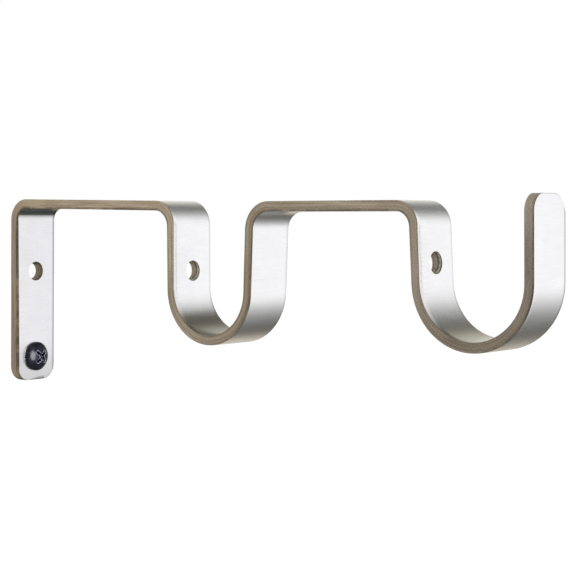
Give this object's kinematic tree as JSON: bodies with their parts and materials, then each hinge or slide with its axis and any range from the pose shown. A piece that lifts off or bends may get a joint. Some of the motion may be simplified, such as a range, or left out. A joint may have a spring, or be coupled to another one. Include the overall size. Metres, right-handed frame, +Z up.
{
  "type": "double curtain pole bracket",
  "caption": "Wall bracket bent from one steel strip, with a rear and a front open hook that carry two curtain poles, and a short fixing screw.",
  "frame": {"origin": "centre of the upper fixing hole, on the face of the plate that meets the wall", "axes": "+X points away from the wall towards the poles, +Y runs across the strip, along the poles, +Z is up"},
  "size_m": [0.1955, 0.016, 0.0604],
  "materials": {
    "satin_plate": "satin silver on the two wide faces, bare brown-grey at the cut edges and hole walls",
    "black_screw": "glossy black over steel"
  },
  "bodies": {
    "root": {"bracket_strip": "satin_plate", "fixing_screw": "black_screw"}
  },
  "joints": []
}
